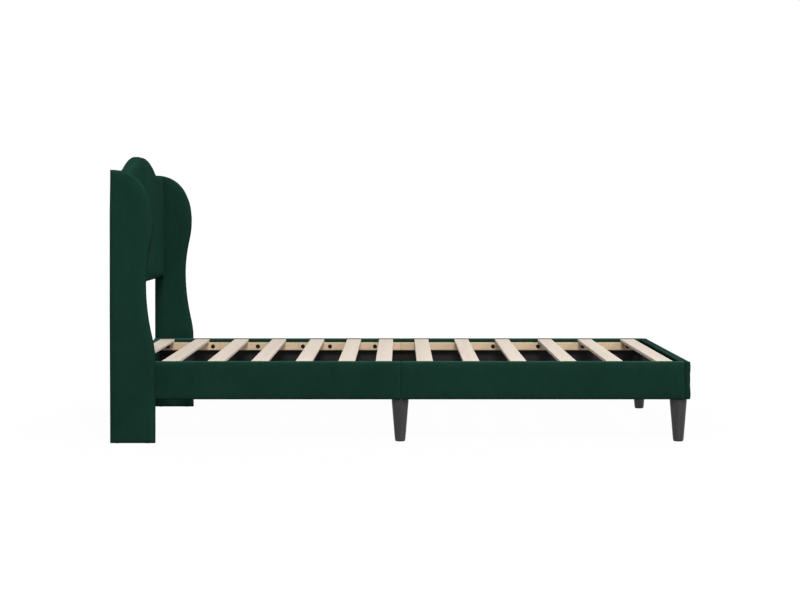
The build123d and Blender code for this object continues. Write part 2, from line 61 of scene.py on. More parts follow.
# Places read from the CAD model
WING_LOW, WING_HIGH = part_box("left_wing_cover")
PANEL_LOW, PANEL_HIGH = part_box("headboard_cover")
RAIL_LOW, RAIL_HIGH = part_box("left_head_side_rail_cover")
RAIL_FOOT_LOW, RAIL_FOOT_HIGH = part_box("left_foot_side_rail_cover")
HEAD_LOW, HEAD_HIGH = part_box("head_rail_cover")
FOOT_LOW, FOOT_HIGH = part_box("foot_rail_cover")
FOOT_LINING_LOW, FOOT_LINING_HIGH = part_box("foot_rail_lining")
RAIL_LINING_LOW, RAIL_LINING_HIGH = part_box("left_head_side_rail_lining")
BACK_CLOTH_LOW, BACK_CLOTH_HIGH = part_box("headboard_back_cloth")

BACK = PANEL_LOW.x
SIDE = PANEL_HIGH.y
RAIL_INNER = RAIL_LOW.y
SEAM = (RAIL_HIGH.x + RAIL_FOOT_LOW.x) / 2
FOOT_GAP = 0.0003  # between the side rails' ends and the foot rail's outer pad
FOOT_JOINT = RAIL_FOOT_HIGH.x + FOOT_GAP
WING_THICK = WING_HIGH.y - WING_LOW.y
PANEL_THICK = PANEL_HIGH.x - PANEL_LOW.x
INNER_HALF = HEAD_HIGH.y

# The wing's outline, as depth off the back and height
WING_BASE = (0.154, 0.285)
WING_WAIST = (0.1215, 0.555)
WING_LOBE = (0.147, 0.769)
WING_TIP = (0.008, 0.955)
WAIST_CURVE_SHARE = 0.3
LOBE_CURVE_SHARE = 0.6
SHOULDER_TURN = math.radians(22.6)
WAIST_STEPS = (10, 22)  # of the two arcs up to the waist
LOBE_STEPS = (16, 11)
SHOULDER_STEPS = (17, 16)

# The headboard's outline
CROWN_HEIGHT = PANEL_HIGH.z
SHOULDER_HEIGHT = 0.952
PANEL_UNDERSIDE = PANEL_LOW.z
CROWN_HALF_WIDTH = 0.4
CROWN_ARC_SHARE = 0.7
CROWN_STEPS = (12, 28)  # of the arc at a shoulder and the one over the middle

# Padding
PAD_ROUND = 0.008
PANEL_ROUND = 0.009
PANEL_BACK_ROUND = 0.004
FOOT_ROUND = 0.0035
FOOT_CORNER_ROUND = 1.2 * FOOT_ROUND  # of the foot rail's outline, seen from the foot end
TIGHT_SHARE = 0.35  # of a wing's roll, where it is pulled tight at the back and the floor
PANEL_SIDE_SHARE = 0.45  # of the headboard's roll, where its sides are pressed on the wings
WING_FULLNESS = {"left": 0.003, "right": 0.0015}  # of the padding round a wing's front edge
FRONT_FILL = (0.01, 0.09)  # depths off the back between which that fullness sets in
FRONT_FADE = (0.84, 0.93)  # heights between which it fades towards the shoulder
WING_BACK_FULLNESS = {"left": 0.0006, "right": 0.0018}  # at the middle of a back edge
BACK_FILL = (0.0, 0.5)  # heights between which it sets in
BACK_FADE = (0.78, 0.94)  # and between which it fades
JOINT_GAP = 0.00001  # between the velvet ends that meet at a side rail's seam
WRAP_ROUND = 0.004
END_ROUND = 0.0025  # of a side rail's ends
CROSS_END_ROUND = 0.0015  # of the ends of the head rail and of the foot rail's inner layer
RAIL_CROWN = {"left": 0.0042, "right": 0.0022}  # how far a side rail's padded top is crowned
FOOT_RISE = 0.0026  # of the foot rail's padded top over its frame
SLAT_ROUND = (0.0018, 0.005)  # of a board's upper and lower edges
LEDGER_ROUND = (0.0015, 0.0025)
BOARD_STEP = 0.12
BOARD_END_ROUND = 0.001
ROUND_STEPS = 5
END_STEPS = 3
PANEL_STEP = 0.011  # spacing of a pad's points
RAIL_STEP = 0.012
FILL_CLEARANCE = 0.6  # of that spacing, between the inner points and the outline
PANEL_SWELL = 0.0032  # how far a pad's face may rise over its frame
WING_SWELL = 0.0024
RAIL_SWELL = 0.0016
SIM_FRAMES = 12
HOLD_EDGE = 0.004  # width of the strips of velvet that are held along an edge
HOLD_MARGIN = 0.01  # and round a piece that presses on the velvet
SIDE_HELD = (0.4, 0.6)  # of a wing's thickness, between which the velvet of its edge is held

# Cloth sheets
LINING_STEP = 0.012
LINING_CREASE = 0.0014  # height of the creases
LINING_DEPTH = 0.8  # how deep a lining lies in its notch, as a share
BACK_CLOTH_STEP = 0.014
BACK_CLOTH_CREASE = 0.0008
BACK_CLOTH_GAP = 0.0003
HEM_FLAT = 0.02  # how far from its hem a sheet lies flat
LONG_CREASES = (7, 22, 3.7)  # their number in a metre along and across, and a place in the noise
SHORT_CREASES = (31, 44, 9.1)

# Tolerances
NEAR = 1e-5  # points closer than this to a line lie on it
TINY = 1e-6  # for what is nothing but rounding
SMALLEST = 1e-7  # a shorter length counts as none


# Outlines
def turned(vector, angle):
    """A plane vector turned counterclockwise."""
    cosine, sine = math.cos(angle), math.sin(angle)
    return Vector((vector.x * cosine - vector.y * sine, vector.x * sine + vector.y * cosine))


def tangent_arc(start, tangent, end, count):
    """Points of the arc that leaves start along tangent and ends at end, with both ends."""
    start, end = Vector(start), Vector(end)
    along = Vector(tangent).normalized()
    across = Vector((-along.y, along.x))
    chord = end - start
    centre = start + across * (chord.length_squared / (2 * chord.dot(across)))
    turn = 2 * math.atan2(chord.dot(across), chord.dot(along))
    return [centre + turned(start - centre, turn * i / count) for i in range(count + 1)]


def s_curve(start, bend, end, tangent, counts):
    """Two arcs that meet at bend, with the same tangent at both far ends."""
    first = tangent_arc(start, tangent, bend, counts[0])
    second = tangent_arc(end, (-tangent[0], -tangent[1]), bend, counts[1])
    return first + second[::-1][1:]


def part_way(start, end, share):
    """The point at a share of the way between two points."""
    return tuple(a + share * (b - a) for a, b in zip(start, end))


def wing_outline():
    """The wing's closed outline as (x, z), counterclockwise from its lower back corner."""
    waist_bend = part_way(WING_BASE, WING_WAIST, WAIST_CURVE_SHARE)
    lobe_bend = part_way(WING_WAIST, WING_LOBE, LOBE_CURVE_SHARE)
    sine, cosine = math.sin(SHOULDER_TURN), math.cos(SHOULDER_TURN)
    rise = WING_TIP[1] - WING_LOBE[1]
    reach = WING_LOBE[0] - WING_TIP[0]
    flank = (rise * cosine - reach * (1 - sine)) / (sine + cosine - 1)
    shoulder = (WING_LOBE[0] - flank * (1 - cosine), WING_LOBE[1] + flank * sine)
    foot = WING_LOW.z
    points = [(0, foot), (WING_BASE[0], foot)]
    points += s_curve(WING_BASE, waist_bend, WING_WAIST, (0, 1), WAIST_STEPS)
    points += s_curve(WING_WAIST, lobe_bend, WING_LOBE, (0, 1), LOBE_STEPS)[1:]
    points += tangent_arc(WING_LOBE, (0, 1), shoulder, SHOULDER_STEPS[0])[1:]
    points += tangent_arc(WING_TIP, (1, 0), shoulder, SHOULDER_STEPS[1])[::-1][1:-1]
    points += [(0, WING_TIP[1])]
    return [Vector((BACK + p[0], p[1])) for p in points]


def panel_outline(hem=0.0):
    """The headboard's closed outline as (y, z), drawn in by a hem."""
    half = SIDE - hem
    crown = CROWN_HEIGHT - hem
    shoulder = SHOULDER_HEIGHT - hem
    underside = PANEL_UNDERSIDE + hem
    bend = (CROWN_ARC_SHARE * CROWN_HALF_WIDTH,
            crown - CROWN_ARC_SHARE * (CROWN_HEIGHT - SHOULDER_HEIGHT))
    top = tangent_arc((CROWN_HALF_WIDTH, shoulder), (-1, 0), bend, CROWN_STEPS[0])
    top += tangent_arc((0, crown), (1, 0), bend, CROWN_STEPS[1])[::-1][1:]
    points = [(-half, underside), (half, underside), (half, shoulder)]
    points += top
    points += [(-p.x, p.y) for p in top[::-1][1:]]
    points += [(-half, shoulder)]
    return [Vector(p) for p in points]


def rounded_rectangle(low, high, radius):
    """A closed rectangle with rounded corners, counterclockwise."""
    points = []
    for corner, start in (((high[0], low[1]), -90), ((high[0], high[1]), 0),
                          ((low[0], high[1]), 90), ((low[0], low[1]), 180)):
        centre = Vector((min(max(corner[0], low[0] + radius), high[0] - radius),
                         min(max(corner[1], low[1] + radius), high[1] - radius)))
        for i in range(ROUND_STEPS + 1):
            angle = math.radians(start + 90 * i / ROUND_STEPS)
            points.append(centre + radius * Vector((math.cos(angle), math.sin(angle))))
    return points


def subdivided(loop, step):
    """The closed loop with points added so that no side is longer than step."""
    points = []
    for here, after in zip(loop, loop[1:] + loop[:1]):
        count = max(1, math.ceil((after - here).length / step - TINY))
        points += [here.lerp(after, i / count) for i in range(count)]
    return points


def inset(loop, distance, share_at=None):
    """The counterclockwise loop drawn in by a distance, or by a share of it at each point."""
    moved = []
    for before, here, after in zip(loop[-1:] + loop[:-1], loop, loop[1:] + loop[:1]):
        first, second = (here - before).normalized(), (after - here).normalized()
        left = Vector((-first.y, first.x))
        middle = (left + Vector((-second.y, second.x))).normalized()
        amount = distance * share_at(here) if share_at else distance
        moved.append(here + middle * (amount / max(middle.dot(left), 0.5)))
    return moved


def distances(points, loop):
    """How far each point lies from the closed loop."""
    a = np.array([tuple(p) for p in loop])
    b = np.roll(a, -1, axis=0)
    p = np.array([tuple(p) for p in points])[:, None, :]
    ab = b - a
    t = np.clip(((p - a) * ab).sum(-1) / (ab * ab).sum(-1), 0, 1)
    return np.sqrt((((a + t[..., None] * ab) - p) ** 2).sum(-1)).min(-1)


def inside(points, loop):
    """Whether each point lies in the closed loop."""
    a = np.array([tuple(p) for p in loop])
    b = np.roll(a, -1, axis=0)
    p = np.array([tuple(p) for p in points])[:, None, :]
    spans = (a[:, 1] > p[..., 1]) != (b[:, 1] > p[..., 1])
    rise = np.where(b[:, 1] == a[:, 1], 1.0, b[:, 1] - a[:, 1])
    cross = a[:, 0] + (p[..., 1] - a[:, 1]) / rise * (b[:, 0] - a[:, 0])
    return (spans & (p[..., 0] < cross)).sum(-1) % 2 == 1


def fill_points(loop, step):
    """Points in even rows inside the loop, clear of it."""
    low = Vector((min(p.x for p in loop), min(p.y for p in loop)))
    high = Vector((max(p.x for p in loop), max(p.y for p in loop)))
    row_step = step * math.sqrt(3) / 2
    rows = [
        Vector((low.x + (column + (row % 2) / 2) * step, low.y + row * row_step))
        for row in range(1, math.ceil((high.y - low.y) / row_step))
        for column in range(1, math.ceil((high.x - low.x) / step))
    ]
    kept = inside(rows, loop) & (distances(rows, loop) > FILL_CLEARANCE * step)
    return [p for p, keep in zip(rows, kept) if keep]


def flat_mesh(loop, added):
    """Triangles over a loop and the points in it: points, faces and each point's own index."""
    points, _, faces, sources, _, _ = delaunay_2d_cdt(
        loop + added, [], [list(range(len(loop)))], 0, SMALLEST, True
    )
    middles = [(points[a] + points[b] + points[c]) / 3 for a, b, c in faces]
    kept = []
    for face, within in zip(faces, inside(middles, loop)):
        a, b, c = (points[i] for i in face)
        longest = max((a - b).length, (b - c).length, (c - a).length)
        if within and (b - a).cross(c - a) > longest * TINY:
            kept.append(tuple(face))
    return points, kept, [min(source) for source in sources]


# Meshes
def new_piece(name, vertices, faces, material, sharp_angle=None):
    """A smooth mesh object, with edges over the sharp angle kept sharp."""
    mesh = bpy.data.meshes.new(name)
    mesh.from_pydata([tuple(v) for v in vertices], [], faces)
    built = bmesh.new()
    built.from_mesh(mesh)
    bmesh.ops.recalc_face_normals(built, faces=built.faces)
    built.to_mesh(mesh)
    built.free()
    mesh.polygons.foreach_set("use_smooth", [True] * len(mesh.polygons))
    if sharp_angle:
        mesh.set_sharp_from_angle(angle=sharp_angle)
    mesh.materials.append(material)
    piece = bpy.data.objects.new(name, mesh)
    bpy.context.scene.collection.objects.link(piece)
    return piece


def quads(first, second, count):
    """Faces between two closed rings of count points that start at these indexes."""
    return [
        (first + i, first + (i + 1) % count, second + (i + 1) % count, second + i)
        for i in range(count)
    ]


def quarter(radius, steps=ROUND_STEPS):
    """Insets and drops of a rolled edge, from the side of a pad to its face."""
    if radius == 0:
        return [(0.0, 0.0)]
    angles = [math.pi / 2 * i / steps for i in range(steps + 1)]
    return [(radius * (1 - math.cos(a)), radius * (1 - math.sin(a))) for a in angles]


def pad(name, loop, thick, rounds, place, step, material, share_at=None):
    """A closed pad over an outline: both faces, with rolled edges, and its sides.

    rounds are the radii at the near and the far face, and place turns (u, v, w) into a point,
    with w from 0 at the near face to thick at the far one. share_at gives the share of a
    round that a point of the outline gets.
    """
    loop = subdivided(loop, step)
    count = len(loop)
    flank = thick - sum(rounds)
    side_rows = max(1, round(flank / step))
    rows = quarter(rounds[0])[::-1]
    rows += [(0.0, rounds[0] + flank * i / side_rows) for i in range(1, side_rows)]
    rows += [(drawn_in, thick - drop) for drawn_in, drop in quarter(rounds[1])]
    flat, faces = [], []
    for k, (drawn_in, w) in enumerate(rows):
        flat += [(p.x, p.y, w) for p in inset(loop, drawn_in, share_at)]
        if k:
            faces += quads((k - 1) * count, k * count, count)
    for ring, w in ((0, 0.0), ((len(rows) - 1) * count, thick)):
        rim = [Vector(p[:2]) for p in flat[ring:ring + count]]
        points, triangles, sources = flat_mesh(rim, fill_points(rim, step))
        new_index = []
        for point, source in zip(points, sources):
            if source < count:
                new_index.append(ring + source)
            else:
                new_index.append(len(flat))
                flat.append((point.x, point.y, w))
        faces += [tuple(new_index[i] for i in face) for face in triangles]
    piece = new_piece(name, [place(*p) for p in flat], faces, material)
    return piece, flat


def swept(name, section, stops, end_round, place, material, step=RAIL_STEP):
    """A closed section carried along a run between two stops, with rounded ends.

    place turns (t, p, q) into a point, with t along the run and (p, q) in the section.
    """
    low, high = stops
    count = len(section)
    runs = max(2, round((high - low) / step))
    ends = quarter(end_round, END_STEPS)
    stations = [(low + drop, drawn_in) for drawn_in, drop in ends[::-1]]
    stations += [
        (low + end_round + (high - low - 2 * end_round) * i / runs, 0.0) for i in range(1, runs)
    ]
    stations += [(high - drop, drawn_in) for drawn_in, drop in ends]
    vertices, faces, flat = [], [], []
    for k, (t, drawn_in) in enumerate(stations):
        for p in inset(section, drawn_in) if drawn_in else section:
            vertices.append(place(t, p.x, p.y))
            flat.append((t, p.x, p.y))
        if k:
            faces += quads((k - 1) * count, k * count, count)
    last = (len(stations) - 1) * count
    faces += [tuple(range(count)), tuple(range(last, last + count))]
    piece = new_piece(name, vertices, faces, material)
    return piece, flat


def smooth_step(low, high, value):
    """0 below low, 1 above high, and a smooth rise between."""
    t = min(max((value - low) / (high - low), 0.0), 1.0)
    return t * t * (3 - 2 * t)


def puff(piece, held, swell):
    """Pressure fills the velvet between the held points, which rises by swell at most."""
    scene = bpy.context.scene
    rest = [v.co.copy() for v in piece.data.vertices]
    group = piece.vertex_groups.new(name="held")
    group.add(held, 1.0, "REPLACE")
    cloth = piece.modifiers.new("cloth", "CLOTH")
    settings = cloth.settings
    settings.quality = 6
    settings.mass = 0.3
    settings.tension_stiffness = 40
    settings.compression_stiffness = 40
    settings.shear_stiffness = 20
    settings.bending_stiffness = 2
    settings.effector_weights.gravity = 0
    settings.vertex_group_mass = "held"
    settings.use_pressure = True
    settings.uniform_pressure_force = 4
    cloth.collision_settings.use_collision = False
    cloth.point_cache.frame_start = 1
    cloth.point_cache.frame_end = SIM_FRAMES
    for number in range(1, SIM_FRAMES + 1):
        scene.frame_set(number)
    shaped = piece.evaluated_get(bpy.context.evaluated_depsgraph_get())
    filled = [v.co.copy() for v in shaped.data.vertices]
    piece.modifiers.remove(cloth)
    piece.vertex_groups.remove(group)
    for vertex, start, end in zip(piece.data.vertices, rest, filled):
        move = end - start
        if move.length > SMALLEST:
            move *= swell * math.tanh(move.length / swell) / move.length
        vertex.co = start + move
    scene.frame_set(1)


def finish_pad(piece, *nodes):
    """Hide the CAD nodes that a padded piece stands for, and attach the piece to the root body."""
    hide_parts(*nodes)
    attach(piece, "root")


# Materials
def grey(level):
    """A colour with three equal parts."""
    return (level, level, level)


def scaled(values, factor):
    """Each of the values times a factor."""
    return [value * factor for value in values]


def material_nodes(name):
    """A new material, its node tree, its Principled shader and the object coordinates."""
    material = bpy.data.materials.new(name)
    material.use_nodes = True
    tree = material.node_tree
    shader = tree.nodes["Principled BSDF"]
    coordinates = tree.nodes.new("ShaderNodeTexCoord").outputs["Object"]
    return material, tree, shader, coordinates


def stretched(tree, coordinates, scale):
    """The coordinates scaled along each axis."""
    mapping = tree.nodes.new("ShaderNodeMapping")
    mapping.inputs["Scale"].default_value = scale
    tree.links.new(coordinates, mapping.inputs["Vector"])
    return mapping.outputs["Vector"]


def noise_value(tree, vector, scale, detail=3.0, roughness=0.55, distortion=0.0):
    """The value of a noise texture."""
    texture = tree.nodes.new("ShaderNodeTexNoise")
    texture.inputs["Scale"].default_value = scale
    texture.inputs["Detail"].default_value = detail
    texture.inputs["Roughness"].default_value = roughness
    texture.inputs["Distortion"].default_value = distortion
    tree.links.new(vector, texture.inputs["Vector"])
    return texture.outputs["Fac"]


def ramp(tree, value, stops):
    """Colours along a value: stops are (position, colour)."""
    node = tree.nodes.new("ShaderNodeValToRGB")
    elements = node.color_ramp.elements
    while len(elements) < len(stops):
        elements.new(0.5)
    for element, (position, colour) in zip(elements, stops):
        element.position = position
        element.color = (*colour, 1.0)
    tree.links.new(value, node.inputs["Fac"])
    return node.outputs["Color"]


def multiplied(tree, colour, other):
    """The product of two colours."""
    mix = tree.nodes.new("ShaderNodeMix")
    mix.data_type = "RGBA"
    mix.blend_type = "MULTIPLY"
    mix.inputs["Factor"].default_value = 1.0
    mix_inputs = [socket for socket in mix.inputs if socket.type == "RGBA"]
    tree.links.new(colour, mix_inputs[0])
    tree.links.new(other, mix_inputs[1])
    return [socket for socket in mix.outputs if socket.type == "RGBA"][0]


def tint(tree, colour, value, low, high):
    """The colour darkened or lightened by a value, between two greys."""
    return multiplied(tree, colour, ramp(tree, value, ((0.0, grey(low)), (1.0, grey(high)))))


def bump(tree, value, distance, strength, under=None):
    """A bump from a height value, on top of another bump."""
    node = tree.nodes.new("ShaderNodeBump")
    node.inputs["Strength"].default_value = strength
    node.inputs["Distance"].default_value = distance
    tree.links.new(value, node.inputs["Height"])
    if under:
        tree.links.new(under, node.inputs["Normal"])
    return node.outputs["Normal"]


PLAIN = grey(1.0)
# Painted shade: velvet faces that turn down are darkened, by these stops of the normal's upward
# share
PAINTED_UNDER_SHADE = ((-0.9, grey(0.35)), (-0.4, grey(0.6)), (-0.06, PLAIN))


def velvet_material(name, dark, light, top_light_gain):
    """Velvet with a short pile, brushed in faint patches, with painted light on top faces.

    The gain stops are (upward share of the normal, gain of each colour): painted light, lighter
    the more a face points up. Faces that turn under get painted shade from the under stops.
    """
    material, tree, shader, where = material_nodes(name)
    patches = noise_value(
        tree, stretched(tree, where, (1, 1, 0.6)), 4.5, detail=4, roughness=0.6, distortion=0.6
    )
    nap = noise_value(tree, stretched(tree, where, (1, 1, 0.35)), 70, detail=4, roughness=0.6)
    pile = noise_value(tree, where, 1500, detail=2, roughness=0.7)
    colour = ramp(tree, patches, ((0.36, dark), (0.64, light)))
    colour = tint(tree, colour, nap, 0.84, 1.14)
    colour = tint(tree, colour, pile, 0.72, 1.26)
    # Painted light and shade: the colour is scaled by how far the normal points up or down
    normal = tree.nodes.new("ShaderNodeSeparateXYZ")
    tree.links.new(tree.nodes.new("ShaderNodeNewGeometry").outputs["Normal"], normal.inputs[0])
    half_up = tree.nodes.new("ShaderNodeMath")
    half_up.operation = "MULTIPLY_ADD"
    tree.links.new(normal.outputs["Z"], half_up.inputs[0])
    half_up.inputs[1].default_value = 0.5
    half_up.inputs[2].default_value = 0.5
    stops = PAINTED_UNDER_SHADE + top_light_gain
    gain = ramp(tree, half_up.outputs[0], [(0.5 + up / 2, share) for up, share in stops])
    colour = multiplied(tree, colour, gain)
    tree.links.new(colour, shader.inputs["Base Color"])
    shader.inputs["Roughness"].default_value = 0.9
    shader.inputs["Specular IOR Level"].default_value = 0.0
    shader.inputs["Sheen Weight"].default_value = 0.006
    shader.inputs["Sheen Roughness"].default_value = 0.4
    shader.inputs["Sheen Tint"].default_value = (0.35, 0.8, 0.62, 1.0)
    relief = bump(tree, patches, distance=0.0012, strength=0.5)
    relief = bump(tree, nap, distance=0.0004, strength=0.5, under=relief)
    relief = bump(tree, pile, distance=0.00025, strength=0.6, under=relief)
    tree.links.new(relief, shader.inputs["Normal"])
    return material


def cloth_material(name, colour):
    """Thin spunbond cloth: matte fibres pressed in a fine grid of points."""
    material, tree, shader, where = material_nodes(name)
    fibres = noise_value(tree, where, 900, detail=4, roughness=0.7, distortion=1.2)
    blotches = noise_value(tree, where, 35, detail=3, roughness=0.6)
    grid = tree.nodes.new("ShaderNodeTexVoronoi")
    grid.inputs["Scale"].default_value = 420
    grid.inputs["Randomness"].default_value = 0.12
    tree.links.new(where, grid.inputs["Vector"])
    base = ramp(tree, blotches, ((0.3, scaled(colour, 0.8)), (0.7, colour)))
    base = tint(tree, base, fibres, 0.55, 1.5)
    tree.links.new(base, shader.inputs["Base Color"])
    shader.inputs["Roughness"].default_value = 0.9
    shader.inputs["Specular IOR Level"].default_value = 0.2
    relief = bump(tree, grid.outputs["Distance"], distance=0.0002, strength=0.5)
    relief = bump(tree, fibres, distance=0.0003, strength=0.6, under=relief)
    tree.links.new(relief, shader.inputs["Normal"])
    return material


def finger_joints(tree, colour, where, per_metre):
    """The colour of a board glued from lengths along X, with a dark line at each joint."""
    split = tree.nodes.new("ShaderNodeSeparateXYZ")
    tree.links.new(where, split.inputs[0])
    cells = []
    for feature in ("F1", "DISTANCE_TO_EDGE"):
        cell = tree.nodes.new("ShaderNodeTexVoronoi")
        cell.voronoi_dimensions = "1D"
        cell.feature = feature
        cell.inputs["Scale"].default_value = per_metre
        tree.links.new(split.outputs["X"], cell.inputs["W"])
        cells.append(cell)
    colour = tint(tree, colour, cells[0].outputs["Color"], 0.93, 1.05)
    line = ramp(tree, cells[1].outputs["Distance"], ((0.0, grey(0.72)), (0.009, PLAIN)))
    return multiplied(tree, colour, line)


def wood_material(
    name, grain_scale, stops, roughness, streak=(0.9, 1.06), joints_per_metre=None
):
    """Wood with grain along the axis whose scale is smallest, in the colours of stops."""
    material, tree, shader, where = material_nodes(name)
    vector = stretched(tree, where, grain_scale)
    growth = noise_value(tree, vector, 1.0, detail=5, roughness=0.6, distortion=0.25)
    vector = stretched(tree, where, scaled(grain_scale, 9))
    fine = noise_value(tree, vector, 1.0, detail=3, roughness=0.7)
    vector = stretched(tree, where, scaled(grain_scale, 30))
    pores = noise_value(tree, vector, 1.0, detail=2, roughness=0.8)
    colour = ramp(tree, growth, stops)
    colour = tint(tree, colour, fine, *streak)
    colour = tint(tree, colour, pores, 0.93, 1.04)
    if joints_per_metre:
        colour = finger_joints(tree, colour, where, joints_per_metre)
    tree.links.new(colour, shader.inputs["Base Color"])
    shader.inputs["Roughness"].default_value = roughness
    shader.inputs["Specular IOR Level"].default_value = 0.3
    relief = bump(tree, fine, distance=0.0003, strength=0.5)
    relief = bump(tree, pores, distance=0.0002, strength=0.5, under=relief)
    tree.links.new(relief, shader.inputs["Normal"])
    return material


def metal_material(name, colour, metallic, roughness, gloss=0.5):
    """Steel, bare or painted, with fine scratches and a faintly uneven finish."""
    material, tree, shader, where = material_nodes(name)
    cloud = noise_value(tree, where, 90, detail=4, roughness=0.6)
    vector = stretched(tree, where, (1400, 60, 1400))
    scratches = noise_value(tree, vector, 1.0, detail=2, roughness=0.7)
    base = ramp(tree, cloud, ((0.3, scaled(colour, 0.85)), (0.7, colour)))
    tree.links.new(base, shader.inputs["Base Color"])
    rough_stops = ((0.2, grey(roughness * 0.8)), (0.8, grey(roughness * 1.2)))
    rough = ramp(tree, scratches, rough_stops)
    tree.links.new(rough, shader.inputs["Roughness"])
    shader.inputs["Metallic"].default_value = metallic
    shader.inputs["Specular IOR Level"].default_value = gloss
    relief = bump(tree, scratches, distance=0.00005, strength=0.4)
    tree.links.new(relief, shader.inputs["Normal"])
    return material


def plastic_material(name, colour):
    """Moulded plastic with a fine grain."""
    material, tree, shader, where = material_nodes(name)
    grain = noise_value(tree, where, 1800, detail=2, roughness=0.6)
    base = ramp(tree, grain, ((0.2, scaled(colour, 0.8)), (0.8, scaled(colour, 1.2))))
    tree.links.new(base, shader.inputs["Base Color"])
    shader.inputs["Roughness"].default_value = 0.55
    relief = bump(tree, grain, distance=0.0001, strength=0.5)
    tree.links.new(relief, shader.inputs["Normal"])
    return material


VELVET_DARK = (0.0074, 0.0298, 0.0203)
VELVET_LIGHT = (0.0091, 0.0352, 0.0243)
# Painted light: upward faces of this velvet are up to 3.5 times lighter, and down-facing ones get
# painted shade
velvet = velvet_material(
    "velvet", VELVET_DARK, VELVET_LIGHT, ((0.66, PLAIN), (0.97, (3.5, 2.4, 2.6)))
)
# Painted light: upward faces of the wings' velvet are up to 1.5 times lighter, and down-facing ones
# get painted shade
velvet_wing = velvet_material(
    "velvet_wing", VELVET_DARK, VELVET_LIGHT,
    ((0.03, PLAIN), (0.25, (1.06, 1.04, 1.04)), (0.9, (1.5, 1.45, 1.42)))
)
# Painted sheen: this lighter copy of the velvet stands in for sheen seen at grazing views; upward
# faces are a little darker, painted shade
velvet_panel_painted_sheen = velvet_material(
    "velvet_panel_painted_sheen", (0.0102, 0.0401, 0.0273), (0.0125, 0.0474, 0.0327),
    ((0.3, PLAIN), (0.95, (0.9, 0.94, 0.92)))
)
# Painted light and shade: a slightly darker copy of the velvet, with a weaker painted top light,
# for the foot rail's inner layer
velvet_inner_shaded = velvet_material(
    "velvet_inner_shaded", (0.0074, 0.0275, 0.0196), (0.0094, 0.0325, 0.0236),
    ((0.35, PLAIN), (0.95, (2.4, 1.85, 1.95)))
)
lining_cloth = cloth_material("lining_cloth", (0.020, 0.020, 0.0205))
back_cloth_look = cloth_material("back_cloth", (0.022, 0.022, 0.023))
slat_wood = wood_material(
    "slat_wood", (26, 0.9, 26),
    ((0.25, (0.63, 0.53, 0.42)), (0.5, (0.69, 0.60, 0.50)), (0.75, (0.72, 0.635, 0.54))), 0.62,
)
ledger_wood = wood_material(
    "ledger_wood", (0.9, 26, 26),
    ((0.28, (0.57, 0.41, 0.25)), (0.5, (0.655, 0.485, 0.31)), (0.75, (0.69, 0.53, 0.35))), 0.65,
    joints_per_metre=3.3,
)
core_wood = wood_material(
    "core_wood", (1.2, 1.2, 30),
    ((0.3, (0.42, 0.28, 0.15)), (0.5, (0.52, 0.37, 0.22)), (0.7, (0.6, 0.45, 0.29))), 0.7,
)
leg_wood = wood_material(
    "leg_wood", (70, 70, 3),
    (
        (0.3, (0.020, 0.020, 0.0205)), (0.5, (0.0315, 0.0315, 0.032)),
        (0.75, (0.046, 0.046, 0.0465)),
    ),
    0.5, streak=(0.72, 1.26),
)
black_steel = metal_material(
    "black_steel", (0.006, 0.0055, 0.005), metallic=0.0, roughness=0.55, gloss=0.15
)
bare_steel = metal_material("bare_steel", (0.55, 0.56, 0.57), metallic=1.0, roughness=0.35)
glide_plastic = plastic_material("glide_plastic", grey(0.006))
foam_look = cloth_material("foam_look", (0.62, 0.58, 0.48))

# Materials of the CAD nodes: the first part of a name that fits decides
NODE_LOOKS = (
    ("slat_", slat_wood), ("ledger_screws", black_steel), ("ledger", ledger_wood),
    ("wing_bolts", black_steel), ("bracket", black_steel), ("joint_plates", black_steel),
    ("leg_bolts", bare_steel), ("leg_plates", bare_steel), ("plate_screws", bare_steel),
    ("wing_nuts", bare_steel), ("glides", glide_plastic), ("_core", core_wood),
    ("_board", core_wood), ("foam", foam_look), ("_leg", leg_wood), ("cloth", back_cloth_look),
    ("lining", lining_cloth), ("cover", velvet),
)
for node_name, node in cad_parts.items():
    look = next(look for part, look in NODE_LOOKS if part in node_name)
    for material_slot in node.material_slots:
        material_slot.material = look

# Wings: velvet over foam on both faces, rolled all round down to the floor
SIDES = (("left", 1), ("right", -1))


def rail_or_panel_behind(x, z):
    """Whether the wing's inner face is pressed on the headboard or on a side rail here."""
    on_panel = x < PANEL_HIGH.x + HOLD_EDGE and z > PANEL_UNDERSIDE - HOLD_MARGIN
    on_rail = RAIL_LOW.z - HOLD_MARGIN < z < RAIL_HIGH.z + HOLD_MARGIN
    return on_panel or on_rail


def wing_roll_share(point):
    """The share of the wing's roll at a point of its outline."""
    tight = point.x < BACK + NEAR or point.y < WING_LOW.z + NEAR
    return TIGHT_SHARE if tight else 1.0


def padded_wing_outline(fullness, back_fullness):
    """The wing's outline with its front and back edges filled out below the shoulder."""
    points = subdivided(wing_outline(), PANEL_STEP)
    for point in points:
        below_shoulder = 1 - smooth_step(*FRONT_FADE, point.y)
        point.x += fullness * below_shoulder * smooth_step(*FRONT_FILL, point.x - BACK)
        if point.x < BACK + NEAR:
            rise = smooth_step(*BACK_FILL, point.y) * (1 - smooth_step(*BACK_FADE, point.y))
            point.x -= back_fullness * rise
    return points


for side_name, hand in SIDES:
    wing, flat = pad(
        f"{side_name}_wing_pad",
        padded_wing_outline(WING_FULLNESS[side_name], WING_BACK_FULLNESS[side_name]),
        WING_THICK, (PAD_ROUND, PAD_ROUND),
        lambda u, v, w, hand=hand: (u, hand * (SIDE + w), v), PANEL_STEP, velvet_wing,
        wing_roll_share,
    )
    held = [
        i for i, (u, v, w) in enumerate(flat)
        if v < WING_LOW.z + HOLD_EDGE or u < BACK + HOLD_EDGE
        or (w < PAD_ROUND and rail_or_panel_behind(u, v))
        or SIDE_HELD[0] * WING_THICK < w < SIDE_HELD[1] * WING_THICK
    ]
    puff(wing, held, WING_SWELL)
    finish_pad(wing, f"{side_name}_wing_cover", f"{side_name}_wing_foam")

